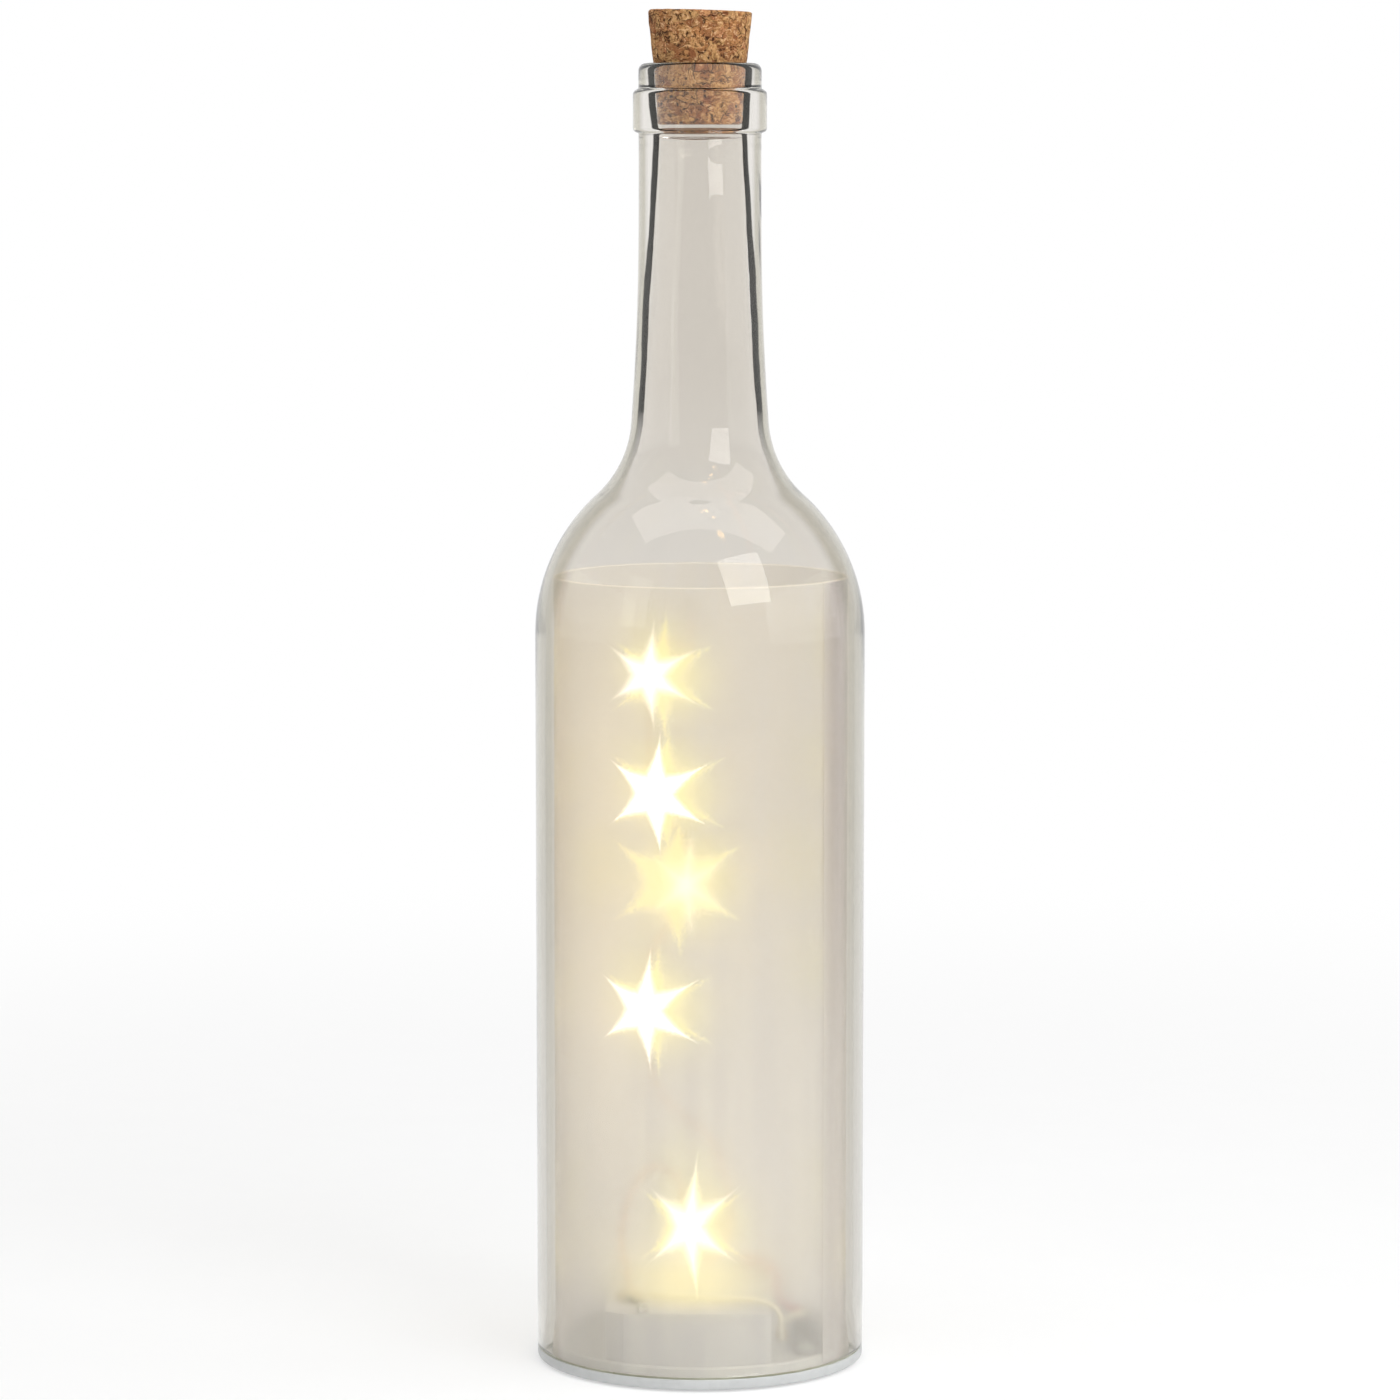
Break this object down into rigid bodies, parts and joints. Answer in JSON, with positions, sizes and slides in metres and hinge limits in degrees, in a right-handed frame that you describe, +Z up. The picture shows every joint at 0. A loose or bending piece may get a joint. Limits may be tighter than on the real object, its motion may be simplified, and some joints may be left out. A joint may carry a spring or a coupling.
{
  "type": "bottle light",
  "caption": "Clear glass bottle lamp with a cork, a rolled hologram film that shows the lights of its wire string as stars, and a plastic base with a battery case and a slide switch.",
  "frame": {"origin": "centre of the foot ring, on the plane that the lamp stands on", "axes": "+Z up along the bottle's axis, -Y towards the front, +X to the right with the switch"},
  "size_m": [0.0732, 0.0732, 0.3],
  "materials": {
    "clear_glass": "clear pressed glass, faintly grey-green",
    "cork": "pressed cork grains, matt",
    "hologram_film": "clear hologram film, hazy, shows each light as a six-pointed star",
    "clear_adhesive": "clear adhesive",
    "hot_melt": "hot-melt glue",
    "base_plastic": "moulded white plastic, satin",
    "case_plastic": "moulded light grey plastic",
    "cell_jacket": "plain printed jacket",
    "contact_steel": "nickel-plated steel",
    "switch_black": "black plastic",
    "lead_black": "flexible insulation",
    "lead_red": "flexible insulation",
    "lead_yellow": "flexible insulation",
    "resistor_coat": "coated, plain",
    "light_resin": "clear resin drop over a warm white diode",
    "copper_wire": "lacquered copper wire"
  },
  "bodies": {
    "bottle": {"glass_bottle": "clear_glass", "hologram_film": "hologram_film", "adhesive_ring": "clear_adhesive", "wire_tail_glue": "clear_adhesive", "wire_exit_glue": "hot_melt", "base_cap": "base_plastic", "battery_case": "case_plastic", "battery_1": "cell_jacket", "battery_2": "cell_jacket", "battery_3": "cell_jacket", "contact_positive": "contact_steel", "contact_negative": "contact_steel", "contact_link_front": "contact_steel", "contact_link_rear": "contact_steel", "battery_spring_1": "contact_steel", "battery_spring_2": "contact_steel", "battery_spring_3": "contact_steel", "switch_terminal_1": "contact_steel", "switch_terminal_2": "contact_steel", "switch_terminal_3": "contact_steel", "switch_screw_1": "contact_steel", "switch_screw_2": "contact_steel", "switch_body": "switch_black", "lead_black": "lead_black", "lead_red": "lead_red", "lead_switch": "lead_yellow", "lead_light": "lead_yellow", "resistor": "resistor_coat", "led_1": "light_resin", "led_2": "light_resin", "led_3": "light_resin", "led_4": "light_resin", "led_5": "light_resin", "led_wire_1": "copper_wire", "led_wire_2": "copper_wire", "led_wire_3": "copper_wire", "led_wire_4": "copper_wire", "led_wire_5": "copper_wire", "led_wire_6": "copper_wire"},
    "cork": {"cork_stopper": "cork"},
    "door": {"battery_door": "base_plastic"},
    "slider": {"switch_slider": "switch_black"}
  },
  "joints": [
    {"name": "cork_pull", "type": "slide", "parent": "bottle", "child": "cork", "axis": [0, 0, 1], "range_m": [0, 0.03]},
    {"name": "door_swing", "type": "hinge", "parent": "bottle", "child": "door", "pos_m": [-0.0025, 0.0239, 0.001], "axis": [1, 0, 0], "range_deg": [0, 80]},
    {"name": "switch_slide", "type": "slide", "parent": "bottle", "child": "slider", "axis": [0, 1, 0], "range_m": [0, 0.003]}
  ]
}
